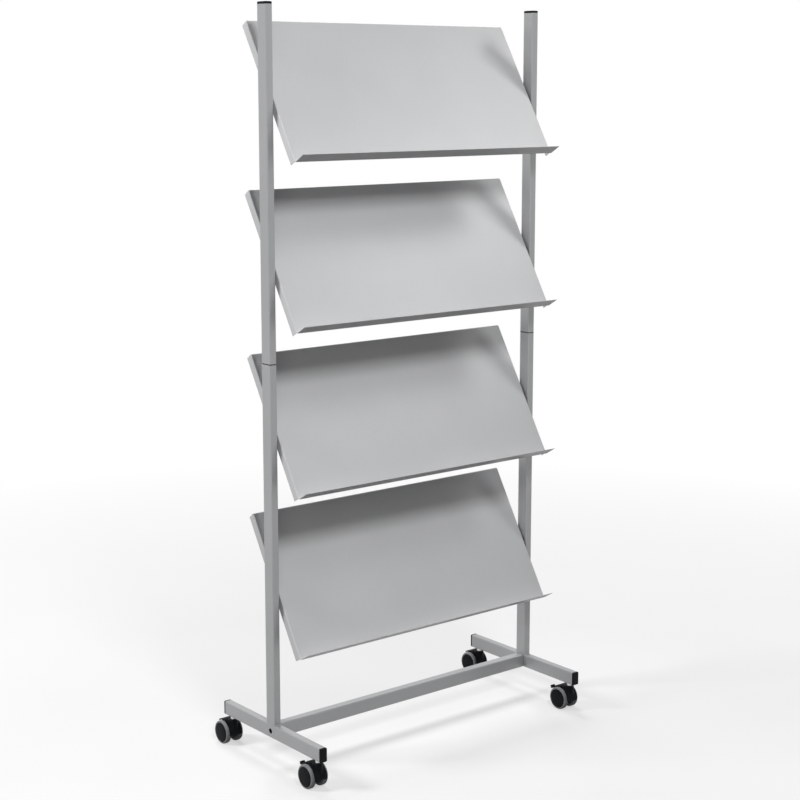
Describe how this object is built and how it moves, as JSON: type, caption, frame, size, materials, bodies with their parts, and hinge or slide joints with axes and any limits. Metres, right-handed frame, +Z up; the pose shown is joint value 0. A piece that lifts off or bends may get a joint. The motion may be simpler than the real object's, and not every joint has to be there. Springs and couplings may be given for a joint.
{
  "type": "periodical display rack",
  "caption": "Mobile display rack for periodicals: tilting folded-sheet shelves with a front lip, hung between tube posts on feet with twin-wheel swivel casters and foot brakes.",
  "frame": {"origin": "on the floor, at the middle of the footprint", "axes": "+X to the rack's right seen from the front, -Y to its front, +Z up"},
  "size_m": [0.898, 0.444, 1.864],
  "materials": {
    "grey_coat": "satin silver-grey powder coat with a fine texture",
    "shelf_coat": "satin light grey powder coat, a little smoother than the frame's",
    "cap_plastic": "black moulded plastic",
    "caster_plastic": "black moulded nylon with a slight sheen",
    "soft_tread": "grey soft tread",
    "zinc_steel": "bright zinc-plated steel",
    "nylon": "black nylon"
  },
  "bodies": {
    "frame": {"crossbar": "grey_coat", "left_foot_tube": "grey_coat", "left_lower_post": "grey_coat", "left_upper_post": "grey_coat", "left_post_joiner": "cap_plastic", "left_post_cap": "cap_plastic", "left_crossbar_screw": "zinc_steel", "front_left_foot_cap": "cap_plastic", "rear_left_foot_cap": "cap_plastic", "right_foot_tube": "grey_coat", "right_lower_post": "grey_coat", "right_upper_post": "grey_coat", "right_post_joiner": "cap_plastic", "right_post_cap": "cap_plastic", "right_crossbar_screw": "zinc_steel", "front_right_foot_cap": "cap_plastic", "rear_right_foot_cap": "cap_plastic", "shelf_1_left_pivot_screw": "zinc_steel", "shelf_1_left_pivot_spacer": "nylon", "shelf_1_right_pivot_screw": "zinc_steel", "shelf_1_right_pivot_spacer": "nylon", "shelf_2_left_pivot_screw": "zinc_steel", "shelf_2_left_pivot_spacer": "nylon", "shelf_2_right_pivot_screw": "zinc_steel", "shelf_2_right_pivot_spacer": "nylon", "shelf_3_left_pivot_screw": "zinc_steel", "shelf_3_left_pivot_spacer": "nylon", "shelf_3_right_pivot_screw": "zinc_steel", "shelf_3_right_pivot_spacer": "nylon", "shelf_4_left_pivot_screw": "zinc_steel", "shelf_4_left_pivot_spacer": "nylon", "shelf_4_right_pivot_screw": "zinc_steel", "shelf_4_right_pivot_spacer": "nylon", "front_left_caster_stem": "zinc_steel", "front_right_caster_stem": "zinc_steel", "rear_left_caster_stem": "zinc_steel", "rear_right_caster_stem": "zinc_steel"},
    "shelf_1": {"shelf_1": "shelf_coat"},
    "shelf_2": {"shelf_2": "shelf_coat"},
    "shelf_3": {"shelf_3": "shelf_coat"},
    "shelf_4": {"shelf_4": "shelf_coat"},
    "front_left_caster": {"front_left_caster_housing": "caster_plastic", "front_left_caster_axle": "zinc_steel"},
    "front_left_outer_wheel": {"front_left_caster_outer_wheel": "soft_tread"},
    "front_left_inner_wheel": {"front_left_caster_inner_wheel": "soft_tread"},
    "front_left_brake_lever": {"front_left_brake_lever": "caster_plastic"},
    "front_right_caster": {"front_right_caster_housing": "caster_plastic", "front_right_caster_axle": "zinc_steel"},
    "front_right_outer_wheel": {"front_right_caster_outer_wheel": "soft_tread"},
    "front_right_inner_wheel": {"front_right_caster_inner_wheel": "soft_tread"},
    "front_right_brake_lever": {"front_right_brake_lever": "caster_plastic"},
    "rear_left_caster": {"rear_left_caster_housing": "caster_plastic", "rear_left_caster_axle": "zinc_steel"},
    "rear_left_outer_wheel": {"rear_left_caster_outer_wheel": "soft_tread"},
    "rear_left_inner_wheel": {"rear_left_caster_inner_wheel": "soft_tread"},
    "rear_right_caster": {"rear_right_caster_housing": "caster_plastic", "rear_right_caster_axle": "zinc_steel"},
    "rear_right_outer_wheel": {"rear_right_caster_outer_wheel": "soft_tread"},
    "rear_right_inner_wheel": {"rear_right_caster_inner_wheel": "soft_tread"}
  },
  "joints": [
    {"name": "display_shelf_1_tilt", "type": "hinge", "parent": "frame", "child": "shelf_1", "pos_m": [0, -0.012, 1.64], "axis": [1, 0, 0], "range_deg": [-30, 30]},
    {"name": "display_shelf_2_tilt", "type": "hinge", "parent": "frame", "child": "shelf_2", "pos_m": [0, -0.012, 1.24], "axis": [1, 0, 0], "range_deg": [-30, 30]},
    {"name": "display_shelf_3_tilt", "type": "hinge", "parent": "frame", "child": "shelf_3", "pos_m": [0, -0.012, 0.84], "axis": [1, 0, 0], "range_deg": [-30, 30]},
    {"name": "display_shelf_4_tilt", "type": "hinge", "parent": "frame", "child": "shelf_4", "pos_m": [0, -0.012, 0.44], "axis": [1, 0, 0], "range_deg": [-30, 30]},
    {"name": "front_left_swivel", "type": "hinge", "parent": "frame", "child": "front_left_caster", "pos_m": [-0.422, -0.196, 0.055], "axis": [0, 0, 1], "continuous": true},
    {"name": "front_left_outer_roll", "type": "hinge", "parent": "front_left_caster", "child": "front_left_outer_wheel", "pos_m": [-0.422, -0.176, 0.03], "axis": [1, 0, 0], "continuous": true},
    {"name": "front_left_inner_roll", "type": "hinge", "parent": "front_left_caster", "child": "front_left_inner_wheel", "pos_m": [-0.422, -0.176, 0.03], "axis": [1, 0, 0], "continuous": true},
    {"name": "front_left_brake_press", "type": "hinge", "parent": "front_left_caster", "child": "front_left_brake_lever", "pos_m": [-0.422, -0.16395, 0.05472], "axis": [1, 0, 0], "range_deg": [-15, 0]},
    {"name": "front_right_swivel", "type": "hinge", "parent": "frame", "child": "front_right_caster", "pos_m": [0.422, -0.196, 0.055], "axis": [0, 0, 1], "continuous": true},
    {"name": "front_right_outer_roll", "type": "hinge", "parent": "front_right_caster", "child": "front_right_outer_wheel", "pos_m": [0.422, -0.176, 0.03], "axis": [1, 0, 0], "continuous": true},
    {"name": "front_right_inner_roll", "type": "hinge", "parent": "front_right_caster", "child": "front_right_inner_wheel", "pos_m": [0.422, -0.176, 0.03], "axis": [1, 0, 0], "continuous": true},
    {"name": "front_right_brake_press", "type": "hinge", "parent": "front_right_caster", "child": "front_right_brake_lever", "pos_m": [0.422, -0.16395, 0.05472], "axis": [1, 0, 0], "range_deg": [-15, 0]},
    {"name": "rear_left_swivel", "type": "hinge", "parent": "frame", "child": "rear_left_caster", "pos_m": [-0.422, 0.172, 0.055], "axis": [0, 0, 1], "continuous": true},
    {"name": "rear_left_outer_roll", "type": "hinge", "parent": "rear_left_caster", "child": "rear_left_outer_wheel", "pos_m": [-0.422, 0.192, 0.03], "axis": [1, 0, 0], "continuous": true},
    {"name": "rear_left_inner_roll", "type": "hinge", "parent": "rear_left_caster", "child": "rear_left_inner_wheel", "pos_m": [-0.422, 0.192, 0.03], "axis": [1, 0, 0], "continuous": true},
    {"name": "rear_right_swivel", "type": "hinge", "parent": "frame", "child": "rear_right_caster", "pos_m": [0.422, 0.172, 0.055], "axis": [0, 0, 1], "continuous": true},
    {"name": "rear_right_outer_roll", "type": "hinge", "parent": "rear_right_caster", "child": "rear_right_outer_wheel", "pos_m": [0.422, 0.192, 0.03], "axis": [1, 0, 0], "continuous": true},
    {"name": "rear_right_inner_roll", "type": "hinge", "parent": "rear_right_caster", "child": "rear_right_inner_wheel", "pos_m": [0.422, 0.192, 0.03], "axis": [1, 0, 0], "continuous": true}
  ]
}
